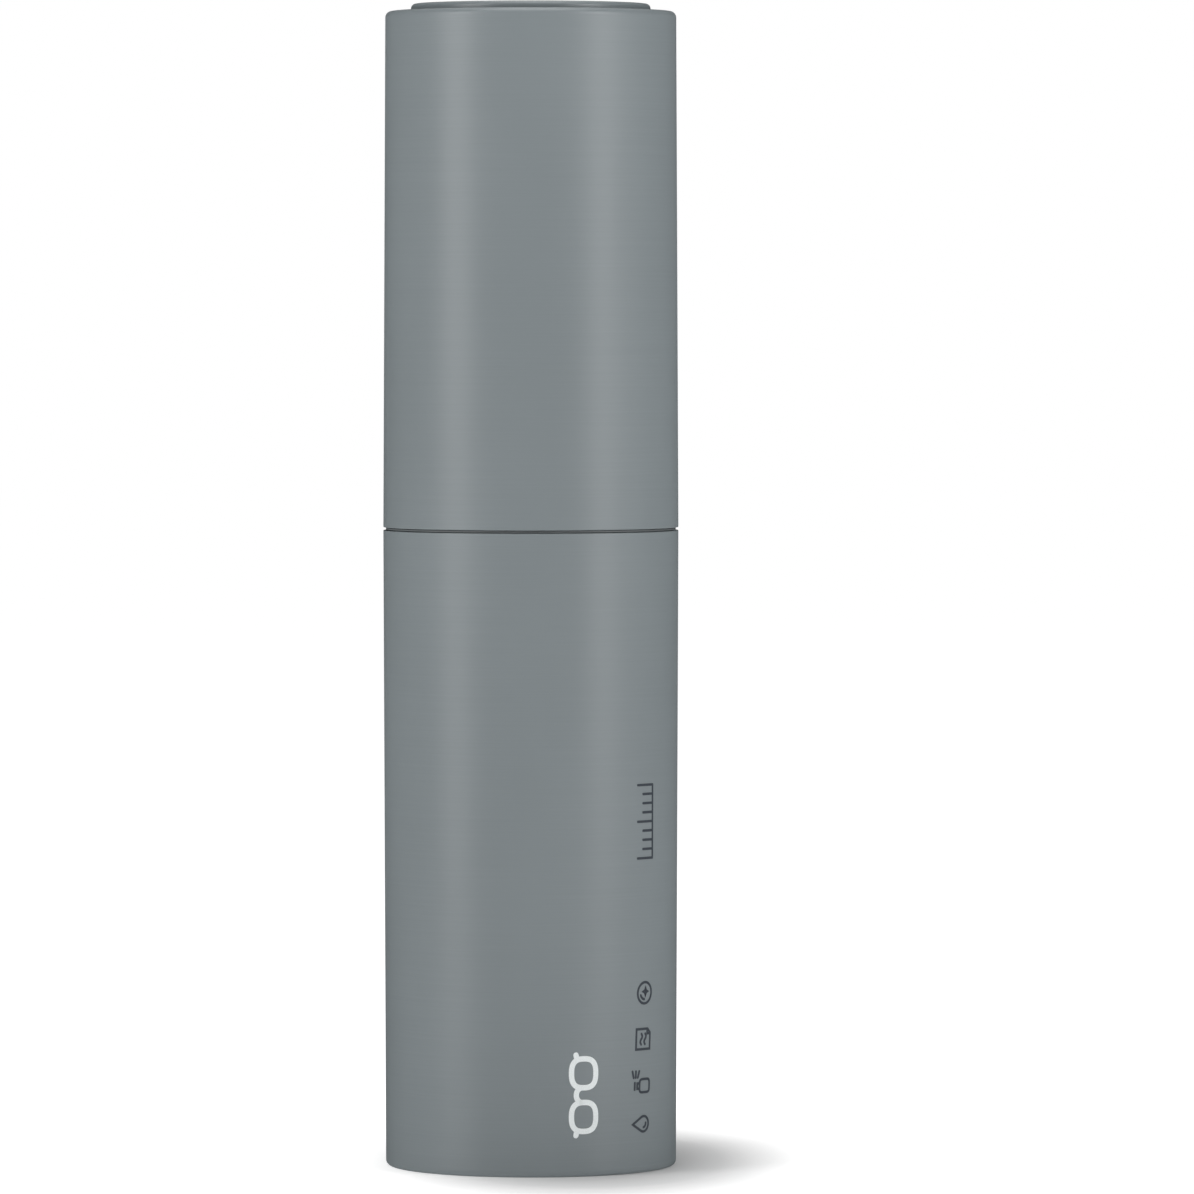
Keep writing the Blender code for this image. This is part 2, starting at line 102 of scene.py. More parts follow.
class Shader:
    """A Principled material with the few node patterns that the pieces share."""

    def __init__(self, name, colour, roughness, **sockets):
        self.material = bpy.data.materials.new(name)
        self.material.use_nodes = True
        self.nodes = self.material.node_tree.nodes
        self.links = self.material.node_tree.links
        self.bsdf = self.nodes["Principled BSDF"]
        self.colour = colour
        self.roughness = roughness
        self.bsdf.inputs["Base Color"].default_value = (*colour, 1)
        self.bsdf.inputs["Roughness"].default_value = roughness
        for socket, value in sockets.items():
            self.bsdf.inputs[socket.replace("_", " ")].default_value = value
        self.coords = self.nodes.new("ShaderNodeTexCoord").outputs["Object"]
        self.normal = None

    def noise(self, feature_mm, detail, stretch=(1, 1, 1)):
        """Noise whose features are about feature_mm long, times stretch along each axis."""
        mapping = self.nodes.new("ShaderNodeMapping")
        mapping.inputs["Scale"].default_value = [1 / (feature_mm * MM * s) for s in stretch]
        self.links.new(self.coords, mapping.inputs["Vector"])
        noise = self.nodes.new("ShaderNodeTexNoise")
        noise.inputs["Scale"].default_value = 1
        noise.inputs["Detail"].default_value = detail
        self.links.new(mapping.outputs["Vector"], noise.inputs["Vector"])
        return noise.outputs["Fac"]

    def ramp(self, value, low, high, start=0.3, end=0.7):
        """Maps a pattern to colours or, given two numbers, to greys."""
        ramp = self.nodes.new("ShaderNodeValToRGB")
        for element, position, colour in zip(ramp.color_ramp.elements, (start, end), (low, high)):
            element.position = position
            element.color = (*colour, 1) if isinstance(colour, tuple) else (colour,) * 3 + (1,)
        self.links.new(value, ramp.inputs["Fac"])
        return ramp.outputs["Color"]

    def mix(self, a, b, factor):
        """Mixes two colours or patterns. The factor is a number or a socket."""
        node = self.nodes.new("ShaderNodeMix")
        node.data_type = "RGBA"
        for value, socket in ((factor, 0), (a, 6), (b, 7)):
            if isinstance(value, bpy.types.NodeSocket):
                self.links.new(value, node.inputs[socket])
            else:
                node.inputs[socket].default_value = value
        return node.outputs[2]

    def tint(self, pattern, amount):
        """Varies the colour round its mean by +-amount with a pattern."""
        low = tuple(c * (1 - amount) for c in self.colour)
        high = tuple(min(1, c * (1 + amount)) for c in self.colour)
        self.links.new(self.ramp(pattern, low, high), self.bsdf.inputs["Base Color"])

    def gloss(self, pattern, amount):
        """Varies the roughness round its mean by +-amount with a pattern."""
        low, high = self.roughness - amount, self.roughness + amount
        self.links.new(self.ramp(pattern, low, high), self.bsdf.inputs["Roughness"])

    def bump(self, pattern, height_mm, strength):
        """Adds a relief of this height on top of any that is there already."""
        node = self.nodes.new("ShaderNodeBump")
        node.inputs["Strength"].default_value = strength
        node.inputs["Distance"].default_value = height_mm * MM
        self.links.new(pattern, node.inputs["Height"])
        if self.normal:
            self.links.new(self.normal, node.inputs["Normal"])
        self.normal = node.outputs["Normal"]
        self.links.new(self.normal, self.bsdf.inputs["Normal"])


def casing_lacquer(name):
    """Satin blue-grey lacquer on drawn aluminium: faint turning lines, fine grain, soft clouds."""
    shader = Shader(name, (0.199, 0.226, 0.237), 0.385, IOR=1.54)
    lines = shader.noise(0.12, 3, (120, 120, 1))
    grain = shader.noise(0.07, 2)
    clouds = shader.noise(14, 3, (1, 1, 2.2))
    shader.tint(shader.mix(lines, clouds, 0.55), 0.045)
    shader.gloss(shader.mix(grain, clouds, 0.5), 0.05)
    shader.bump(lines, 0.0012, 0.5)
    shader.bump(grain, 0.0015, 0.6)
    return shader.material


def moulded(name, colour, roughness, **sockets):
    """Injection-moulded plastic with a spark-eroded grain."""
    shader = Shader(name, colour, roughness, **sockets)
    grain = shader.noise(0.09, 3)
    flow = shader.noise(5, 2, (1, 1, 3))
    shader.tint(flow, 0.05)
    shader.gloss(shader.mix(grain, flow, 0.4), 0.06)
    shader.bump(grain, 0.002, 0.6)
    return shader.material


def drawn_steel(name):
    """Bright steel with fine drawing marks along it."""
    shader = Shader(name, (0.62, 0.63, 0.64), 0.24, Metallic=1.0)
    shader.gloss(shader.noise(0.15, 3, (1, 1, 6)), 0.08)
    shader.bump(shader.noise(0.05, 2, (1, 1, 8)), 0.0008, 0.5)
    return shader.material


def seal_rubber(name):
    """Dull black rubber with a matte mould's texture."""
    shader = Shader(name, (0.030, 0.031, 0.032), 0.68)
    shader.tint(shader.noise(0.6, 3), 0.15)
    shader.bump(shader.noise(0.12, 4), 0.006, 0.7)
    return shader.material


def vial_glass(name):
    """Clear moulded glass with the gentle ripples of its mould."""
    shader = Shader(name, (0.93, 0.97, 0.96), 0.04, IOR=1.5, Transmission_Weight=1.0)
    shader.tint(shader.noise(9, 1), 0.01)
    shader.bump(shader.noise(4.5, 1, (1, 1, 2.5)), 0.02, 0.3)
    return shader.material


def fluid(name):
    """A thin clear cleaning fluid."""
    shader = Shader(name, (0.88, 0.95, 0.98), 0.02, IOR=1.34, Transmission_Weight=1.0)
    shader.tint(shader.noise(12, 1), 0.01)
    return shader.material


def ink(name, colour):
    """Screen-printed ink, a little mottled where the mesh laid it down."""
    shader = Shader(name, colour, 0.5)
    mesh_marks = shader.noise(0.08, 2)
    shader.tint(mesh_marks, 0.08)
    shader.bump(mesh_marks, 0.001, 0.4)
    return shader.material


LACQUER = casing_lacquer("casing_lacquer")
BLACK = moulded("black_moulding", (0.018, 0.019, 0.020), 0.45)
GREY = moulded("grey_moulding", (0.16, 0.175, 0.18), 0.5)
WHITE = moulded("white_moulding", (0.74, 0.75, 0.74), 0.38, Subsurface_Weight=0.1)
CLEAR = moulded("natural_moulding", (0.80, 0.84, 0.85), 0.25, Transmission_Weight=0.6)
STEEL = drawn_steel("drawn_steel")
RUBBER = seal_rubber("black_rubber")
GLASS = vial_glass("moulded_glass")
FLUID = fluid("cleaning_fluid_tint")
WHITE_INK = ink("white_ink", (0.76, 0.80, 0.80))
DARK_INK = ink("dark_ink", (0.040, 0.048, 0.060))


# ---------------------------------------------------------------- turned pieces


def rounded(*corners, closed=True):
    """A profile whose (radius, height, fillet) corners are rounded. Long straights get extra points,
    with one close to each end, so that smooth shading stays true to the shape."""
    steps, run, end_run, shortest = 6, 2.5, 0.12, 0.6
    points = [Vector(c[:2]) for c in corners]
    fillets = [c[2] if len(c) > 2 else 0 for c in corners]
    outline = []
    for i, (here, fillet) in enumerate(zip(points, fillets)):
        if not fillet:
            outline.append(here)
            continue
        to_last = (points[i - 1] - here).normalized()
        to_next = (points[(i + 1) % len(points)] - here).normalized()
        half = to_last.angle(to_next) / 2
        centre = here + (to_last + to_next).normalized() * fillet / math.sin(half)
        start = here + to_last * fillet / math.tan(half) - centre
        end = here + to_next * fillet / math.tan(half) - centre
        sweep = start.angle(end)
        for k in range(steps + 1):
            t = k / steps
            weights = math.sin((1 - t) * sweep), math.sin(t * sweep)
            outline.append(centre + (start * weights[0] + end * weights[1]) / math.sin(sweep))
    dense = []
    count = len(outline) if closed else len(outline) - 1
    for i in range(count):
        a, b = outline[i], outline[(i + 1) % len(outline)]
        length = (b - a).length
        shares = [0.0]
        if length > shortest:
            inner = max(1, round(length / run))
            middle = [k / inner for k in range(1, inner)]
            shares += [end_run / length, *middle, 1 - end_run / length]
        dense += [a.lerp(b, t) for t in shares]
    if not closed:
        dense.append(outline[-1])
    return [(p.x, p.y) for p in dense], closed


def linked(name, data):
    """A new object in the scene for a mesh, a light or a camera."""
    obj = bpy.data.objects.new(name, data)
    bpy.context.scene.collection.objects.link(obj)
    return obj


def turned(name, profile, facets=FINE):
    """A profile turned about Z. One that isn't closed starts and ends on the axis."""
    points, closed = profile
    mesh = bpy.data.meshes.new(name)
    bm = bmesh.new()
    spokes = [(math.cos(a), math.sin(a)) for a in (2 * math.pi * k / facets for k in range(facets))]
    rings = []
    for r, z in points:
        if r < 1e-6:
            rings.append([bm.verts.new((0, 0, z * MM))] * facets)
        else:
            rings.append([bm.verts.new((r * c * MM, r * s * MM, z * MM)) for c, s in spokes])
    pairs = list(zip(rings, rings[1:]))
    if closed:
        pairs.append((rings[-1], rings[0]))
    for a, b in pairs:
        for k in range(facets):
            j = (k + 1) % facets
            bm.faces.new(list(dict.fromkeys((a[k], a[j], b[j], b[k]))))
    bmesh.ops.recalc_face_normals(bm, faces=bm.faces)
    bm.to_mesh(mesh)
    bm.free()
    return linked(name, mesh)


def laid(obj, height, azimuth_deg):
    """Lays a turned piece along a radius: its heights become distances from the axis."""
    lift = Matrix.Translation((0, 0, height * MM))
    turn = Matrix.Rotation(math.radians(azimuth_deg), 4, "Z")
    obj.matrix_world = lift @ turn @ Matrix.Rotation(math.radians(90), 4, "Y")
    return obj


def rod(name, radius_mm, inner, outer, height, azimuth_deg, edge=0.0):
    """A rod along a radius, as a cutter or a boss. Its outer edge can be rounded."""
    profile = rounded((0, inner), (radius_mm, inner), (radius_mm, outer, edge), (0, outer), closed=False)
    return laid(turned(name, profile, TINY), height, azimuth_deg)


def prism(name, outline, inner, outer, azimuth_deg):
    """A flat (sideways, height) outline carried along a radius, as a cutter."""
    mesh = bpy.data.meshes.new(name)
    bm = bmesh.new()
    ends = [[bm.verts.new((r * MM, x * MM, z * MM)) for x, z in outline] for r in (inner, outer)]
    bm.faces.new(ends[0])
    bm.faces.new(ends[1][::-1])
    for i in range(len(outline)):
        j = (i + 1) % len(outline)
        bm.faces.new((ends[0][i], ends[1][i], ends[1][j], ends[0][j]))
    bmesh.ops.recalc_face_normals(bm, faces=bm.faces)
    bm.to_mesh(mesh)
    bm.free()
    obj = linked(name, mesh)
    obj.matrix_world = Matrix.Rotation(math.radians(azimuth_deg), 4, "Z")
    return obj


def helical_bar(name, section, azimuth_deg, stages):
    """A closed bar swept round Z, whose section is (radius, height). A stage is (degrees, rise)."""
    mesh = bpy.data.meshes.new(name)
    bm = bmesh.new()
    start = Matrix.Rotation(math.radians(azimuth_deg), 3, "Z")
    face = bm.faces.new([bm.verts.new(start @ Vector((r * MM, 0, z * MM))) for r, z in section])
    swept = [face, *face.edges, *face.verts]
    for turn_deg, rise in stages:
        steps = max(2, round(turn_deg / 4))
        done = bmesh.ops.spin(bm, geom=swept, cent=(0, 0, 0), axis=(0, 0, 1), steps=steps,
                              dvec=(0, 0, rise / steps * MM), angle=math.radians(turn_deg))
        swept = done["geom_last"]
    bmesh.ops.recalc_face_normals(bm, faces=bm.faces)
    bm.to_mesh(mesh)
    bm.free()
    return linked(name, mesh)


def boolean(obj, tool, operation="DIFFERENCE"):
    """Cuts a tool from a piece, or joins it on. settle applies it."""
    modifier = obj.modifiers.new(tool.name, "BOOLEAN")
    modifier.operation = operation
    modifier.object = tool


def settle(obj, material, node, sharp_deg=50):
    """Applies the modifiers, removes their tools, shades the piece and puts it in the frame."""
    tools = [m.object for m in obj.modifiers if m.type == "BOOLEAN"]
    bpy.context.view_layer.update()
    mesh = bpy.data.meshes.new_from_object(obj.evaluated_get(bpy.context.evaluated_depsgraph_get()))
    obj.modifiers.clear()
    obj.data = mesh
    mesh.transform(obj.matrix_world)
    obj.matrix_world = Matrix.Identity(4)
    mesh.name = obj.name
    for tool in tools:
        bpy.data.objects.remove(tool)
    bm = bmesh.new()
    bm.from_mesh(mesh)
    bmesh.ops.recalc_face_normals(bm, faces=bm.faces)
    bm.to_mesh(mesh)
    bm.free()
    mesh.materials.clear()
    mesh.materials.append(material)
    mesh.shade_smooth()
    mesh.set_sharp_from_angle(angle=math.radians(sharp_deg))
    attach(obj, BODY_OF[node])
    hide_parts(node)


# ---------------------------------------------------------------- casings and liners


def lower_shell():
    """The drawn can below the seam, with a standing ring round its dished underside."""
    floor, dish, ring_inner, dish_r = 1.2, 0.4, 10.8, 10.3
    profile = rounded(
        (0, floor), (BORE_R, floor, 0.7), (BORE_R, SEAM_FOOT, 0.1), (SEAM_R, SEAM_FOOT, 0.06),
        (END_R, 0, 0.55), (ring_inner, 0, 0.15), (dish_r, dish, 0.15), (0, dish), closed=False)
    settle(turned("lower_shell", profile), LACQUER, "lower_casing")


def upper_shell():
    """The drawn tube above the seam, turned in at its shoulder round the head."""
    opening, ceiling = radius("actuator_shell") + 0.25, SHOULDER - 0.8
    profile = rounded(
        (opening, SHOULDER, 0.15), (END_R, SHOULDER, 0.6), (SEAM_R, SEAM_TOP, 0.06),
        (BORE_R, SEAM_TOP, 0.1), (BORE_R, ceiling, 0.2), (opening, ceiling, 0.1))
    settle(turned("upper_shell", profile), LACQUER, "upper_casing")


def liner_cup():
    """The moulded cup glued in the lower casing."""
    low, high = foot("base_liner"), top("base_liner")
    bore, floor = LINER_R - 0.9, low + 1.0
    profile = rounded(
        (0, floor), (bore, floor, 0.5), (bore, high, 0.2), (LINER_R, high, 0.2), (LINER_R, low, 0.6),
        (0, low), closed=False)
    settle(turned("liner_cup", profile, MEDIUM), BLACK, "base_liner")


def cushion_disc():
    """Rubber disc with two shallow rings moulded in its top."""
    low, high, outer = foot("vial_cushion"), top("vial_cushion"), radius("vial_cushion")
    depth, half = 0.2, 0.5
    rings = []
    for middle in (4.0, 7.5):
        rings += [(middle - half, high, 0.1), (middle - half + 0.2, high - depth, 0.1),
                  (middle + half - 0.2, high - depth, 0.1), (middle + half, high, 0.1)]
    profile = rounded((0, high), *rings, (outer, high, 0.25), (outer, low, 0.1), (0, low), closed=False)
    settle(turned("cushion_disc", profile, MEDIUM), RUBBER, "vial_cushion")


def slotted_guide():
    """The guide tube: bearing flange and dark ring at the seam, snap bead, two upright slots."""
    low, high, ring_r = foot("guide_tube"), top("guide_tube"), radius("guide_tube")
    half_ring, flange_low, flange_high = 0.07, SEAM - 1.8, SEAM + 1.2
    bead_r, bead_low, bead_high = 12.3, SEAM + 5.5, SEAM + 6.5
    profile = rounded(
        (GUIDE_BORE_R, high, 0.15), (GUIDE_R, high, 0.25), (GUIDE_R, bead_high, 0.2),
        (bead_r, SEAM + 6.2, 0.1), (bead_r, SEAM + 5.8, 0.1), (GUIDE_R, bead_low, 0.2),
        (GUIDE_R, flange_high, 0.15), (LINER_R, flange_high, 0.15), (LINER_R, SEAM + half_ring),
        (ring_r, SEAM + half_ring), (ring_r, SEAM - half_ring), (LINER_R, SEAM - half_ring),
        (LINER_R, flange_low, 0.15), (GUIDE_R, flange_low, 0.15), (GUIDE_R, low, 0.3),
        (GUIDE_BORE_R, low, 0.15))
    guide = turned("slotted_guide", profile)
    half, round_end = SLOT_WIDTH / 2, LUG_Z - 0.15  # a little below the lug, so that it never seats
    angles = [math.radians(180 + 10 * k) for k in range(19)]
    outline = [(half * math.cos(a), round_end + half * math.sin(a)) for a in angles]
    outline += [(half, high + 2), (-half, high + 2)]
    for side, azimuth in SIDES:
        boolean(guide, prism(f"upright_slot_{side}", outline, GUIDE_BORE_R - 1, GUIDE_R + 1, azimuth))
    settle(guide, GREY, "guide_tube", 40)


def spiral_sleeve():
    """The driving sleeve: two helical slots, a groove for the snap bead and a lip round the head."""
    low, high = foot("helix_sleeve"), top("helix_sleeve")
    bore, groove_r, lip_r = LINER_R - 0.9, 12.5, radius("actuator_shell") + 0.27
    groove_low, groove_high = SEAM + 5.2, SEAM + 6.8  # a little longer than the snap bead
    profile = rounded(
        (lip_r, high, 0.15), (LINER_R, high, 0.2), (LINER_R, low, 0.2), (bore, low, 0.2),
        (bore, groove_low, 0.1), (groove_r, groove_low, 0.1), (groove_r, groove_high, 0.1),
        (bore, groove_high, 0.1), (bore, high - 1.5, 0.2), (lip_r, high - 1.0, 0.1))
    sleeve = turned("spiral_sleeve", profile)
    slope = math.atan(LIFT / (math.radians(TWIST_DEG) * LINER_R))
    half = SLOT_WIDTH / 2 / math.cos(slope)
    inner, outer = 11, 14  # the cutters reach past the wall on both sides
    section = [(inner, LUG_Z - half), (outer, LUG_Z - half), (outer, LUG_Z + half), (inner, LUG_Z + half)]
    stages = [(TWIST_DEG, LIFT), (LANDING_DEG, 0)]
    for side, azimuth in SIDES:
        boolean(sleeve, helical_bar(f"helical_slot_{side}", section, azimuth, stages))
        boolean(sleeve, rod(f"slot_start_{side}", half, inner, outer, LUG_Z, azimuth))
        end = azimuth + TWIST_DEG + LANDING_DEG
        boolean(sleeve, rod(f"slot_end_{side}", half, inner, outer, LUG_Z + LIFT, end))
    settle(sleeve, WHITE, "helix_sleeve", 40)


# ---------------------------------------------------------------- refill


def thread(name, inner, outer, points_inwards, start):
    """A single-start thread ridge, broad at its root and narrow at its crest."""
    root, crest = 0.45, 0.25
    at_inner, at_outer = (crest, root) if points_inwards else (root, crest)
    section = [(inner, start - at_inner), (outer, start - at_outer), (outer, start + at_outer),
               (inner, start + at_inner)]
    return helical_bar(name, section, 0, [(360 * THREAD_TURNS, THREAD_PITCH * THREAD_TURNS)])


def vial():
    """The glass refill: a push-up in its floor, round shoulders and a threaded neck."""
    low, rim = foot("glass_vial"), top("glass_vial")
    bore, shoulder, neck_bore, push_up_r = VIAL_R - 0.85, rim - 9.25, 4.95, 8.2
    profile = rounded(
        (0, low + 1.6), (bore, low + 1.3, 1.5), (bore, shoulder - 0.8, 2.3), (5.4, shoulder - 0.7, 0.4),
        (neck_bore, shoulder, 0.3), (neck_bore, rim, 0.3), (NECK_R, rim, 0.3),
        (NECK_R, shoulder + 0.5, 0.4), (NECK_R + 0.4, shoulder, 0.2), (VIAL_R, shoulder, 3.0),
        (VIAL_R, low, 1.4), (push_up_r + 0.4, low, 0.3), (push_up_r, low + 0.4, 0.3), (0, low + 0.6),
        closed=False)
    body = turned("vial", profile, MEDIUM)
    ridge = thread("neck_thread", NECK_R - 0.5, NECK_R + 0.65, False, THREAD_START)
    boolean(body, ridge, "UNION")
    settle(body, GLASS, "glass_vial", 40)


def fluid_fill():
    """The fill, with its surface drawn up a little at the glass."""
    outer, low, level = radius("cleaning_fluid"), foot("cleaning_fluid"), top("cleaning_fluid")
    middle = low + 0.25  # its floor rises to the middle, over the vial's push-up
    tube_foot, socket_foot, surface = middle + 0.75, foot("pump_housing") - 0.2, level - 0.3
    tube_gap_r, socket_gap_r, pump_gap_r = 1.75, 2.65, PUMP_R + 0.2
    profile = rounded(
        (0, tube_foot), (tube_gap_r, tube_foot), (tube_gap_r, socket_foot),
        (socket_gap_r, socket_foot), (socket_gap_r, CONE_FOOT - 0.1), (pump_gap_r, CONE_TOP - 0.1),
        (pump_gap_r, level - 0.1), (5.3, surface, 0.3), (9.2, surface, 0.6), (outer, level),
        (outer, low, 1.35), (0, middle), closed=False)
    settle(turned("fluid_fill", profile, MEDIUM), FLUID, "cleaning_fluid", 40)


def screw_collar():
    """The collar that clamps the pump on the vial's neck, with the two lugs that lift it all."""
    low, high = foot("carrier_collar"), top("carrier_collar")
    outer, rim_r, skirt_r, skirt_bore, hole = VIAL_R, 9.9, 8.6, 7.5, 4.35
    plate, web = high - 1.4, high - 1.7
    lug_r, lug_root, lug_tip, lug_edge = 1.5, 10.4, 12.75, 0.25
    profile = rounded(
        (hole, high, 0.2), (outer, high, 0.5), (outer, low, 0.2), (rim_r, low, 0.2),
        (rim_r, web, 0.3), (skirt_r, web, 0.3), (skirt_r, low, 0.2), (skirt_bore, low, 0.2),
        (skirt_bore, plate, 0.2), (hole, plate, 0.2))
    collar = turned("screw_collar", profile, MEDIUM)
    start = THREAD_START + THREAD_PITCH / 2
    boolean(collar, thread("collar_thread", skirt_bore - 0.65, skirt_bore + 0.5, True, start), "UNION")
    for side, azimuth in SIDES:
        lug = rod(f"lug_{side}", lug_r, lug_root, lug_tip, LUG_Z, azimuth, lug_edge)
        boolean(collar, lug, "UNION")
    settle(collar, WHITE, "carrier_collar", 40)


def gasket_ring():
    """The flat seal between the vial's rim and the pump's flange."""
    low, high, outer, bore = foot("neck_gasket"), top("neck_gasket"), radius("neck_gasket"), 5.0
    profile = rounded((bore, high, 0.2), (outer, high, 0.2), (outer, low, 0.2), (bore, low, 0.2))
    settle(turned("gasket_ring", profile, MEDIUM), RUBBER, "neck_gasket")


# ---------------------------------------------------------------- pump


def pump_cylinder():
    """The pump's housing: flange, cylinder, ball seat and the socket of the dip tube."""
    low, high, flange_r = foot("pump_housing"), top("pump_housing"), radius("pump_housing")
    flange_low, rim_r, rim_low, bore = high - 0.9, 3.9, 81.6, 3.2
    socket_r, socket_bore, socket_end, inlet_r = 2.5, 1.7, 65.6, 0.8
    seat_low, seat_high, chamber_r, chamber_high = 67.4, 68.5, 1.9, 69.6
    profile = rounded(
        (rim_r, high, 0.15), (flange_r, high, 0.15), (flange_r, flange_low, 0.15),
        (PUMP_R, flange_low, 0.2), (PUMP_R, CONE_TOP, 0.4), (socket_r, CONE_FOOT, 0.4),
        (socket_r, low, 0.15), (socket_bore, low, 0.15), (socket_bore, socket_end),
        (inlet_r, socket_end, 0.1), (inlet_r, seat_low, 0.1), (chamber_r, seat_high, 0.2),
        (chamber_r, chamber_high, 0.1), (bore, chamber_high, 0.2), (bore, rim_low, 0.1),
        (rim_r, rim_low, 0.1))
    settle(turned("pump_cylinder", profile, MEDIUM), CLEAR, "pump_housing")


def gland_plug():
    """The plug that closes the pump and guides its stem."""
    low, high, flange_r = foot("stem_gland"), top("stem_gland"), radius("stem_gland")
    bore, boss_r, plug_r, flange_low, flange_high = STEM_R + 0.15, 4.1, 3.8, 85.35, 86.2
    profile = rounded(
        (bore, high, 0.15), (boss_r, high, 0.5), (boss_r, flange_high, 0.2),
        (flange_r, flange_high, 0.2), (flange_r, flange_low, 0.15), (plug_r, flange_low, 0.2),
        (plug_r, low, 0.3), (bore, low, 0.15))
    settle(turned("gland_plug", profile, MEDIUM), WHITE, "stem_gland")


def suction_tube():
    """The dip tube, cut on the slant at its foot so that it can't seal on the glass."""
    low, high, outer, bore = foot("dip_tube"), top("dip_tube"), 1.6, 1.0
    profile = rounded((bore, high), (outer, high, 0.1), (outer, low), (bore, low))
    tube = turned("suction_tube", profile, TINY)
    cut, half, slant_deg = low + 1.2, 4, 35
    outline = [(-half, low - half), (half, low - half), (half, cut), (-half, cut)]
    slant = prism("slant_cut", outline, -half, half, 0)
    pivot = Matrix.Translation((0, 0, cut * MM))
    slant.matrix_world = pivot @ Matrix.Rotation(math.radians(slant_deg), 4, "Y") @ pivot.inverted()
    boolean(tube, slant)
    settle(tube, CLEAR, "dip_tube")


def check_bead():
    """The ball of the inlet valve."""
    low, high = foot("inlet_ball"), top("inlet_ball")
    ball_r, middle = (high - low) / 2, (high + low) / 2
    angles = [math.radians(-90 + 6 * k) for k in range(31)]
    outline = [(max(0, ball_r * math.cos(a)), middle + ball_r * math.sin(a)) for a in angles]
    settle(turned("check_bead", (outline, False), TINY), STEEL, "inlet_ball", 80)


def spring_coil():
    """The return spring, with a closed coil at each end."""
    wire_r, coil_r, turns, closed_turns, closed_pitch = 0.25, 2.3, 6.0, 1.0, 0.56
    low, high = foot("return_spring") + wire_r, top("return_spring") - wire_r
    open_pitch = (high - low - 2 * closed_turns * closed_pitch) / (turns - 2 * closed_turns)
    per_turn, sides = 40, 12
    mesh = bpy.data.meshes.new("spring_coil")
    bm = bmesh.new()
    rings = []
    count = round(turns * per_turn)
    for i in range(count + 1):
        turn = turns * i / count
        closed = min(turn, closed_turns) + max(0.0, turn - (turns - closed_turns))
        height = low + closed * closed_pitch + (turn - closed) * open_pitch
        around = Matrix.Rotation(2 * math.pi * turn, 3, "Z")
        ring = []
        for k in range(sides):
            a = 2 * math.pi * k / sides
            reach, rise = coil_r + wire_r * math.cos(a), height + wire_r * math.sin(a)
            ring.append(bm.verts.new(around @ Vector((reach, 0, rise)) * MM))
        rings.append(ring)
    for a, b in zip(rings, rings[1:]):
        for k in range(sides):
            bm.faces.new((a[k], a[(k + 1) % sides], b[(k + 1) % sides], b[k]))
    bm.faces.new(rings[0][::-1])
    bm.faces.new(rings[-1])
    bm.to_mesh(mesh)
    bm.free()
    spring = linked("spring_coil", mesh)
    settle(spring, STEEL, "return_spring")
    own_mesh(spring)


def lip_piston():
    """The piston, with a thin sealing lip at each end."""
    low, high, lip_r = foot("piston"), top("piston"), radius("piston")
    bore, hub_r, waist_r, lip_inner = STEM_R + 0.15, 2.35, 2.7, 2.92
    cup_inner, cup_outer, cup = 2.5, 2.75, high - 0.45
    upper = [
        (bore, high, 0.08), (hub_r, high, 0.08), (cup_inner, cup, 0.08), (cup_outer, cup, 0.08),
        (lip_inner, high, 0.03), (lip_r, high, 0.03), (lip_r, high - 0.6, 0.1),
        (waist_r, high - 0.9, 0.2)]
    lower = [(r, low + high - z, fillet) for r, z, fillet in reversed(upper)]
    settle(turned("lip_piston", rounded(*upper, *lower), MEDIUM), WHITE, "piston")


def hollow_stem():
    """The stem: valve flange at its foot, shoulder, bore, and a cross hole for the fluid."""
    low, high, valve_r = foot("pump_stem"), top("pump_stem"), radius("pump_stem")
    valve_low, valve_high, pin_r, bore, bore_foot = 77.3, 77.9, 1.5, 0.8, 78.0
    shoulder_r, shoulder_low, shoulder_high = 2.2, 81.6, 82.3
    profile = rounded(
        (0, bore_foot), (bore, bore_foot, 0.2), (bore, high, 0.1), (STEM_R, high, 0.2),
        (STEM_R, shoulder_high, 0.1), (shoulder_r, shoulder_high, 0.1), (shoulder_r, shoulder_low, 0.1),
        (STEM_R, shoulder_low, 0.1), (STEM_R, valve_high, 0.05), (valve_r, valve_high, 0.1),
        (valve_r, valve_low, 0.1), (pin_r, valve_low, 0.1), (pin_r, low, 0.3), (0, low), closed=False)
    stem = turned("hollow_stem", profile, SMALL)
    port_r, reach, port = 0.3, 3, bore_foot + 0.4
    boolean(stem, rod("stem_port", port_r, -reach, reach, port, -FRONT_DEG))
    settle(stem, WHITE, "pump_stem", 40)


# ---------------------------------------------------------------- spray head


def head_shell():
    """The drawn cap over the head, with a round window for the nozzle."""
    outer, low, high = radius("actuator_shell"), foot("actuator_shell"), top("actuator_shell")
    bore, ceiling = outer - 0.6, high - 0.7
    profile = rounded(
        (0, high), (outer, high, 0.45), (outer, low, 0.12), (bore, low, 0.12),
        (bore, ceiling, 0.2), (0, ceiling), closed=False)
    shell = turned("head_shell", profile)
    window_r, inside, outside = 2.3, 9, 13
    boolean(shell, rod("nozzle_window", window_r, inside, outside, NOZZLE, FRONT_DEG))
    settle(shell, LACQUER, "actuator_shell", 40)


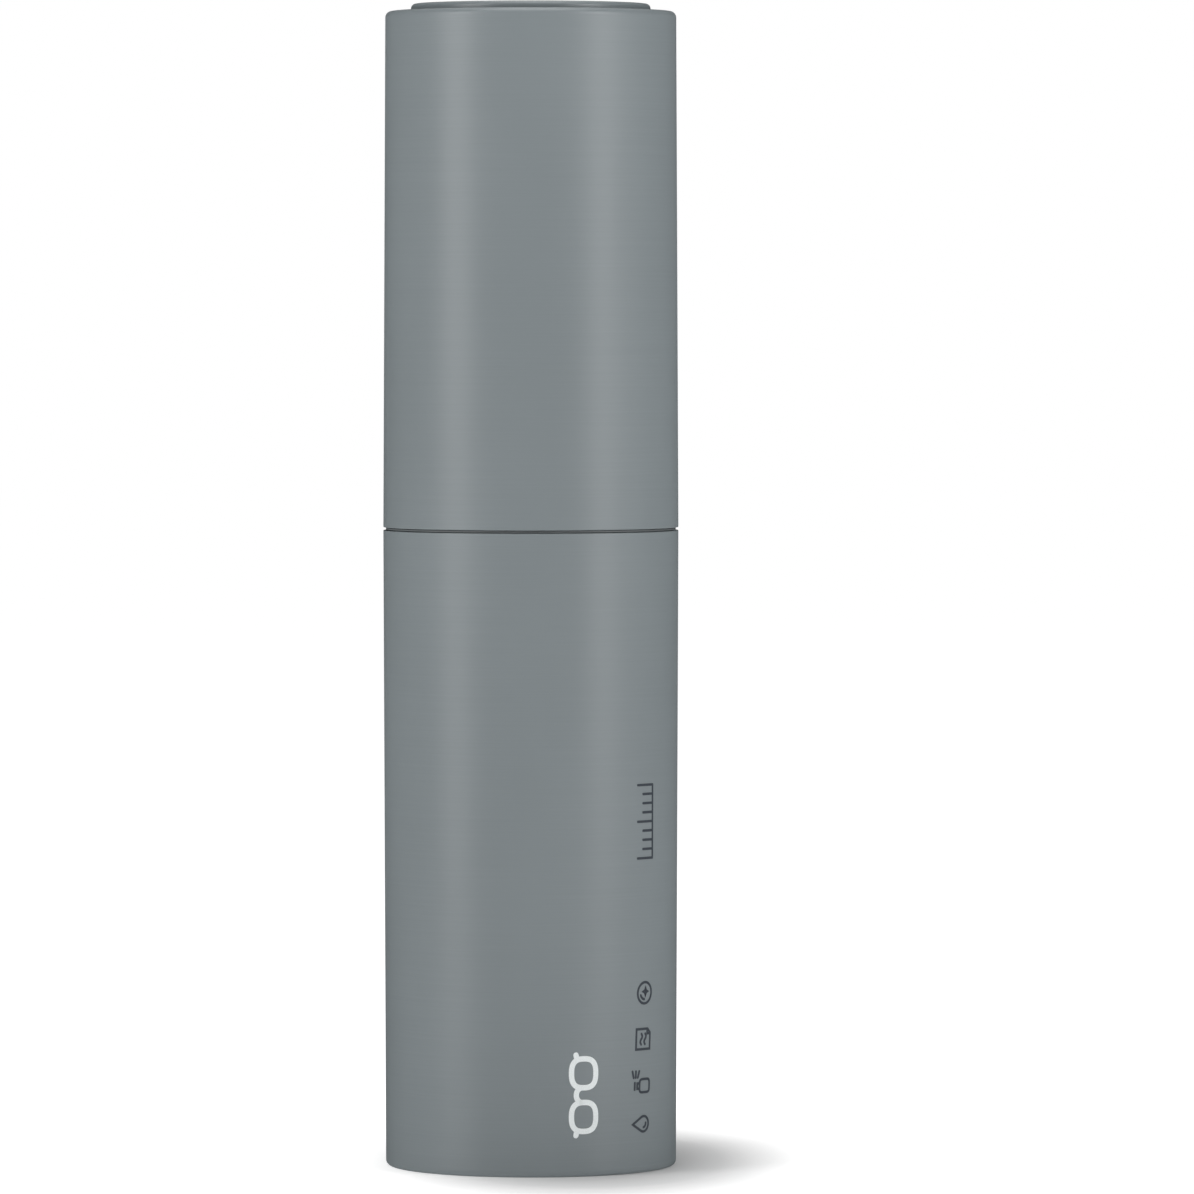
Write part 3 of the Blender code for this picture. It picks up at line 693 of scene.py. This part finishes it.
def head_core():
    """The moulding in the head: stem socket, passage, and the boss with its swirl post."""
    low, high, outer = foot("actuator_core"), top("actuator_core"), radius("actuator_core")
    rim_low, rim_bore, plate_low, hub_r = 98.8, outer - 0.8, 107.9, 3.4
    socket_r, socket_high, passage_r, passage_high = STEM_R + 0.1, 97.8, 0.8, 107.3
    profile = rounded(
        (0, high), (outer, high, 0.3), (outer, rim_low, 0.2), (rim_bore, rim_low, 0.2),
        (rim_bore, plate_low, 0.3), (hub_r, plate_low, 0.3), (hub_r, low, 0.3), (socket_r, low, 0.2),
        (socket_r, socket_high, 0.1), (passage_r, socket_high, 0.1), (passage_r, passage_high, 0.2),
        (0, passage_high), closed=False)
    core = turned("head_core", profile, MEDIUM)
    boss_r, boss_start, boss_end = 3.1, 1.2, outer - 0.6
    boolean(core, rod("nozzle_boss", boss_r, boss_start, boss_end, NOZZLE, FRONT_DEG), "UNION")
    seat_r, seat_floor, post_r, post_end, outside = 2.1, 7.4, 1.2, 10.2, 13
    seat = rounded(
        (0, outside), (seat_r, outside), (seat_r, seat_floor), (post_r, seat_floor),
        (post_r, post_end, 0.15), (0, post_end), closed=False)
    boolean(core, laid(turned("nozzle_seat", seat, TINY), NOZZLE, FRONT_DEG))
    channel_r, channel_start, channel_end, channel = 0.4, 0.2, 7.9, NOZZLE + 1.65
    boolean(core, rod("feed_channel", channel_r, channel_start, channel_end, channel, FRONT_DEG))
    settle(core, WHITE, "actuator_core", 40)


def spray_tip():
    """The pressed-in nozzle: a cone round a fine orifice."""
    low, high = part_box("nozzle_insert")
    front, back, outer = -low.y / MM, -high.y / MM, radius("nozzle_insert")
    bore, face, cone_r, orifice_r = 1.35, front - 0.7, 1.0, 0.15
    profile = rounded(
        (orifice_r, front - 0.4), (cone_r, front, 0.1), (outer, front, 0.15), (outer, back, 0.1),
        (bore, back, 0.1), (bore, face, 0.1), (orifice_r, face))
    settle(laid(turned("spray_tip", profile, SMALL), NOZZLE, FRONT_DEG), BLACK, "nozzle_insert", 40)


# ---------------------------------------------------------------- printed marks
#
# Artwork is drawn flat, in millimetres, x to the right and y up. It is printed a quarter turn
# anticlockwise: x runs up the casing, and y towards the left round it.

# A stroke is (its path, whether it is closed).

INK_PROUD, INK_SUNK = 0.012, 0.03
BOLD, THIN = 0.52, 0.24  # widths of the strokes


def line(*points, closed=False):
    """A stroke from point to point."""
    return [Vector(p) for p in points], closed


def squircle_point(centre, half_width, half_height, power, degrees):
    """A point of a superellipse, which is round at power 2 and squarer above."""
    c, s = math.cos(math.radians(degrees)), math.sin(math.radians(degrees))
    x = math.copysign(abs(c) ** (2 / power), c) * half_width
    y = math.copysign(abs(s) ** (2 / power), s) * half_height
    return Vector((centre[0] + x, centre[1] + y))


def oval(centre, half_width, half_height, power=2):
    """A closed superellipse."""
    steps = 72
    angles = [360 * k / steps for k in range(steps)]
    return [squircle_point(centre, half_width, half_height, power, a) for a in angles], True


def arc(centre, half_width, half_height, start_deg, end_deg, steps):
    """An open stretch of an ellipse."""
    angles = [start_deg + (end_deg - start_deg) * k / steps for k in range(steps + 1)]
    return [squircle_point(centre, half_width, half_height, 2, a) for a in angles], False


def droplet(centre, size):
    """A drop that stands on its round end."""
    belly, belly_r = (centre[0], centre[1] - 0.18 * size), 0.33 * size
    round_part = arc(belly, belly_r, belly_r, 150, 390, 40)[0]
    return [*round_part, Vector((centre[0], centre[1] + 0.5 * size))], True


def resampled(path, closed, step):
    """The same path, with a point at least every step."""
    ends = path[1:] + path[:1] if closed else path[1:]
    dense = []
    for a, b in zip(path, ends):
        pieces = max(1, math.ceil((b - a).length / step))
        dense += [a.lerp(b, k / pieces) for k in range(pieces)]
    return dense if closed else [*dense, path[-1]]


def stroke_stations(path, width, closed):
    """(middle, half-width vector) along a stroke, with mitred corners and round ends."""
    points = resampled(path, closed, 0.2)
    count = len(points)
    stations = []
    for i, here in enumerate(points):
        before = points[i - 1] if closed or i else here
        after = points[(i + 1) % count] if closed or i < count - 1 else here
        into = (here - before).normalized() if before is not here else (after - here).normalized()
        out = (after - here).normalized() if after is not here else into
        along = (into + out).normalized()
        mitre = min(1.6, 1 / max(0.3, along.dot(out)))
        stations.append((here, Vector((-along.y, along.x)) * width / 2 * mitre))
    if not closed:
        for end, inner in ((0, 1), (-1, -2)):
            middle, half = stations[end]
            outwards = (points[end] - points[inner]).normalized() * width / 2
            cap = [(middle + outwards * math.sin(t), half * math.cos(t)) for t in (0.45, 0.9, 1.3)]
            stations = cap[::-1] + stations if end == 0 else stations + cap
    return stations


def printed(name, strokes, width, material, azimuth_deg, foot_z, lean_deg=0.0):
    """Strokes as a thin film of ink on the lower casing. The artwork's origin lies at the azimuth,
    counted from the front towards the right, and at the height."""
    mesh = bpy.data.meshes.new(name)
    bm = bmesh.new()

    def on_casing(point, lift):
        height = foot_z + point.x
        around = casing_radius(height)
        lean = math.tan(math.radians(lean_deg)) * point.x
        angle = math.radians(azimuth_deg) + (lean - point.y) / around
        reach = around + lift
        return Vector((reach * math.sin(angle), -reach * math.cos(angle), height)) * MM

    for path, closed in strokes:
        rings = []
        for middle, half in stroke_stations(path, width, closed):
            corners = ((half, INK_PROUD), (-half, INK_PROUD), (-half, -INK_SUNK), (half, -INK_SUNK))
            rings.append([bm.verts.new(on_casing(middle + side, lift)) for side, lift in corners])
        pairs = list(zip(rings, rings[1:] + (rings[:1] if closed else [])))
        for a, b in pairs:
            for k in range(4):
                bm.faces.new((a[k], a[(k + 1) % 4], b[(k + 1) % 4], b[k]))
        if not closed:
            bm.faces.new(rings[0][::-1])
            bm.faces.new(rings[-1])
    bmesh.ops.recalc_face_normals(bm, faces=bm.faces)
    bm.to_mesh(mesh)
    bm.free()
    mesh.materials.append(material)
    mark = linked(name, mesh)
    mesh.shade_smooth()
    mesh.set_sharp_from_angle(angle=math.radians(30))
    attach(mark, BODY_OF["lower_casing"])


def casing_radius(height):
    """The lower casing's outside, which widens from its foot to the seam."""
    return END_R + (SEAM_R - END_R) * height / SEAM_FOOT


def spectacles_mark():
    """Bold white pair of spectacles: two lenses, the bridge and the hinges."""
    lens_x, lens_w, lens_h, power = 2.05, 1.36, 1.22, 2.7
    strokes = [oval((side * lens_x, -0.05), lens_w, lens_h, power) for side in (-1, 1)]
    strokes.append(arc((0, 0.15), 0.68, 0.55, 15, 165, 16))
    strokes += [line((side * 3.3, 0.62), (side * 3.78, 0.74)) for side in (-1, 1)]
    printed("spectacles_mark", strokes, BOLD, WHITE_INK, 21.2, 7.7)


def drop_mark(x):
    """A drop with a glint."""
    return [droplet((x, 0), 2.2), arc((x + 0.05, -0.35), 0.38, 0.38, 190, 275, 14)]


def spray_mark(x):
    """A squat bottle with a neck and a button, and three jets."""
    neck, lip, mouth = 0.25, 0.66, 0.9
    bottle = oval((x, -0.38), 0.62, 0.72, 5)
    collar = line((x - neck, 0.34), (x - neck, lip), (x + neck, lip), (x + neck, 0.34))
    button = line((x - 0.32, 1.0), (x + 0.32, 1.0))
    jets = [line((x + 0.8, mouth + rise * 0.6), (x + 1.4, mouth + rise)) for rise in (-0.46, 0, 0.46)]
    return [bottle, collar, button, *jets]


def cloth_mark(x):
    """A square cloth with a turned corner and two folds."""
    half, fold = 0.95, 0.6
    edge = line((x - half, -1), (x + 0.55, -1), (x + half, -fold), (x + half, 1), (x - half, 1), closed=True)
    corner = line((x + 0.5, -0.95), (x + 0.5, -0.55), (x + 0.9, -0.55))
    folds = []
    for rise in (-0.25, 0.3):
        wave = [(x - 0.5 + k / 12, rise + 0.13 * math.sin(k / 12 * 2 * math.pi)) for k in range(13)]
        folds.append(line(*wave))
    return [edge, corner, *folds]


def lens_mark(x):
    """A round lens with a glint and a four-pointed sparkle."""
    tip, notch, middle = Vector((0.3844, 0)), Vector((0.0744, 0.0744)), Vector((x + 0.12, -0.1))
    sparkle = []
    for quarter in range(4):
        turn = Matrix.Rotation(math.radians(90 * quarter), 2)
        sparkle += [middle + turn @ tip, middle + turn @ notch]
    return [oval((x, 0), 1, 1), arc((x, 0), 0.6, 0.6, 110, 175, 14), line(*sparkle, closed=True)]


def care_marks():
    """A row of thin pictograms: drop, spray, cloth and clean lens."""
    strokes = [*drop_mark(0.95), *spray_mark(4.55), *cloth_mark(8.95), *lens_mark(13.3)]
    printed("care_marks", strokes, THIN, DARK_INK, 48.65, 3.7, 2.5)


def volume_scale():
    """A short scale, as on a measure."""
    length, rule, long_tick, short_tick, steps = 6.9, -1.1, 1.1, 0.35, 8
    strokes = [line((0, rule), (length, rule))]
    for k in range(steps + 1):
        reach = long_tick if k % 4 == 0 else short_tick
        x = length * k / steps
        strokes.append(line((x, rule), (x, reach)))
    printed("volume_scale", strokes, THIN, DARK_INK, 51.2, 29.7)


for build in (
    lower_shell, upper_shell, liner_cup, cushion_disc, slotted_guide, spiral_sleeve, vial, fluid_fill,
    screw_collar, gasket_ring, pump_cylinder, gland_plug, suction_tube, check_bead, spring_coil,
    lip_piston, hollow_stem, head_shell, head_core, spray_tip, spectacles_mark, care_marks, volume_scale,
):
    build()


# ---------------------------------------------------------------- studio

AIM = Vector((0, 0, 55)) * MM


def softbox(name, azimuth_deg, distance, height, size, power):
    """A soft light that faces the object. Azimuth 0 is the camera's side, positive to its right.
    Distances and sizes are metres, and the power is watts."""
    angle = math.radians(azimuth_deg)
    data = bpy.data.lights.new(name, "AREA")
    data.shape = "RECTANGLE"
    data.size, data.size_y = size
    data.energy = power
    light = linked(name, data)
    light.location = (distance * math.sin(angle), -distance * math.cos(angle), height)
    light.rotation_euler = (AIM - light.location).to_track_quat("-Z", "Y").to_euler()


softbox("left_strip", -59, 0.32, 0.14, (0.14, 0.30), 0.37)
softbox("right_strip", 57.5, 0.32, 0.14, (0.14, 0.30), 0.32)
softbox("left_high", -60, 0.35, 0.25, (0.12, 0.14), 0.21)
softbox("right_high", 58, 0.35, 0.25, (0.12, 0.14), 0.29)
softbox("side_right", 84, 0.5, 0.10, (0.14, 0.18), 0.05)
softbox("top_back", 180, 0.40, 0.70, (0.7, 0.5), 0.8)
softbox("overhead", 0, 0.02, 0.20, (0.08, 0.08), 0.06)


def backdrop():
    """A white surround that the camera sees, but that adds no light to the object."""
    world = bpy.data.worlds.new("studio")
    bpy.context.scene.world = world
    world.use_nodes = True
    world.node_tree.nodes["Background"].inputs["Color"].default_value = (1, 1, 1, 1)
    world.node_tree.nodes["Background"].inputs["Strength"].default_value = 1.0
    for ray in ("diffuse", "glossy", "transmission", "scatter"):
        setattr(world.cycles_visibility, ray, False)


def white_floor():
    """White paper, kept white to the horizon by a glow, though the floor is no lamp. The glow fades inside
    an oval round the foot that reaches out to the right and to the back, which paints a soft shadow on
    that side in place of one cast by the lights. The light that the floor throws back on the object
    fades less than what the camera sees."""
    mesh = bpy.data.meshes.new("floor")
    bm = bmesh.new()
    bmesh.ops.create_grid(bm, x_segments=1, y_segments=1, size=3)
    bm.to_mesh(mesh)
    bm.free()
    floor = linked("floor", mesh)
    paper = Shader("white_paper", (0.6, 0.6, 0.6), 0.9, Specular_IOR_Level=0.1)
    paper.tint(paper.noise(400, 1), 0.01)
    # The oval of the painted shadow: its middle and its reach, in millimetres.
    middle, reach = Vector((5, 4, 0)), Vector((38, 76, 1000))
    stretched = paper.nodes.new("ShaderNodeMapping")
    stretched.inputs["Scale"].default_value = [1 / (r * MM) for r in reach]
    stretched.inputs["Location"].default_value = [-m / r for m, r in zip(middle, reach)]
    distance = paper.nodes.new("ShaderNodeVectorMath")
    distance.operation = "LENGTH"
    paper.links.new(paper.coords, stretched.inputs["Vector"])
    paper.links.new(stretched.outputs["Vector"], distance.inputs[0])
    # Painted shadow: the glow is 0.06 near the foot and rises to full white at the oval's edge.
    glow = paper.ramp(distance.outputs["Value"], 0.06, 1.0, 0.21, 1.0)
    for position, level in ((0.35, 0.3), (0.46, 0.6), (0.53, 0.78), (0.65, 0.94)):
        glow.node.color_ramp.elements.new(position).color = (level, level, level, 1)
    # Painted bounce light: for the object's rays the glow is lifted towards white, so its painted shadow is
    # fainter there.
    bounce = paper.mix(glow, (1, 1, 1, 1), 0.4)
    is_camera = paper.nodes.new("ShaderNodeLightPath").outputs["Is Camera Ray"]
    paper.links.new(paper.mix(bounce, glow, is_camera), paper.bsdf.inputs["Emission Strength"])
    paper.bsdf.inputs["Emission Color"].default_value = (1, 1, 1, 1)
    mesh.materials.append(paper.material)
    floor.visible_glossy = False


def long_lens():
    """A long lens in front of the object, looking down on it a little."""
    place, down_deg = Vector((6.274, -889.17, 82.755)), 1.853
    data = bpy.data.cameras.new("camera")
    data.sensor_width, data.lens, data.clip_end = 36, 282.57, 20
    camera = linked("camera", data)
    camera.location = place * MM
    camera.rotation_euler = (math.radians(90 - down_deg), 0, 0)
    bpy.context.scene.camera = camera


backdrop()
white_floor()
long_lens()
bpy.context.scene.view_settings.view_transform = "Standard"
